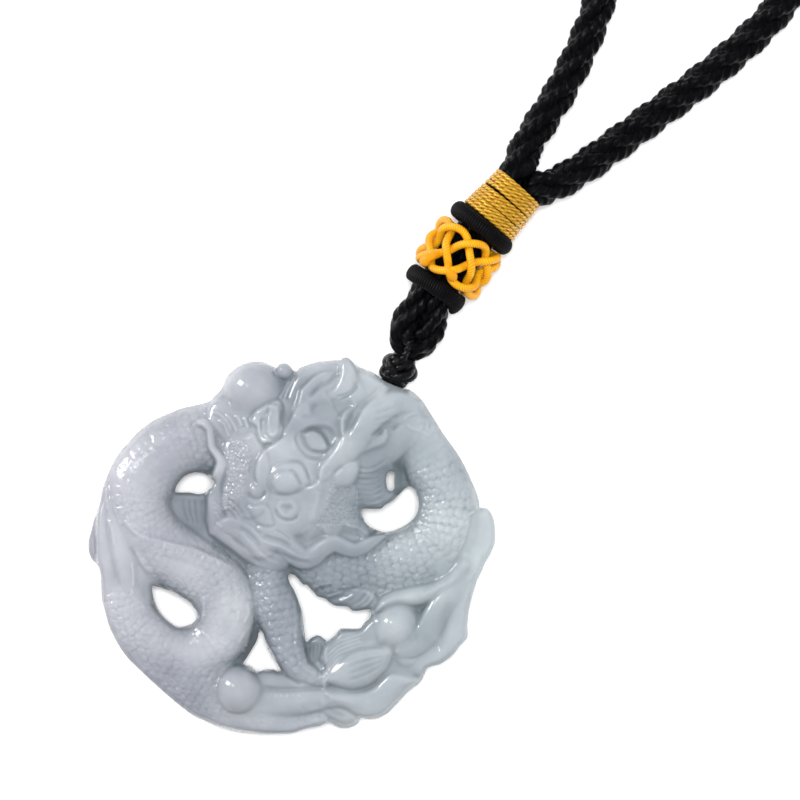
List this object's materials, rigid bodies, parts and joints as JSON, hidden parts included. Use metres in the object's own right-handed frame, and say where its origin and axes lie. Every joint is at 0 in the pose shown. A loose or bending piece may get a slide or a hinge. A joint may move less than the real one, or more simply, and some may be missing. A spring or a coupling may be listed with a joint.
{
  "type": "jade pendant necklace",
  "caption": "Round carved jade dragon with pierced holes, hung by a thread from a doubled black twisted neck cord bound with black rings, a yellow woven knot and a sleeve of gold thread.",
  "frame": {"origin": "centre of the carved stone's box, on its flat back, which lies on the surface", "axes": "+Z out of the stone's carved face; +X and +Y across the face, with the cord leaving towards +X +Y as the picture shows it"},
  "size_m": [0.1468, 0.153, 0.0114],
  "materials": {
    "jade": "polished, slightly translucent, pale bluish grey",
    "black_cord": "twisted glossy yarn",
    "yellow_cord": "smooth satin cord",
    "gold_thread": "lustrous plied thread"
  },
  "bodies": {
    "root": {"jade_dragon": "jade", "hanging_thread": "black_cord", "cord_fold": "black_cord", "lower_ring": "black_cord", "woven_knot": "yellow_cord", "upper_ring": "black_cord", "gold_binding": "gold_thread", "neck_cord": "black_cord"}
  },
  "joints": []
}
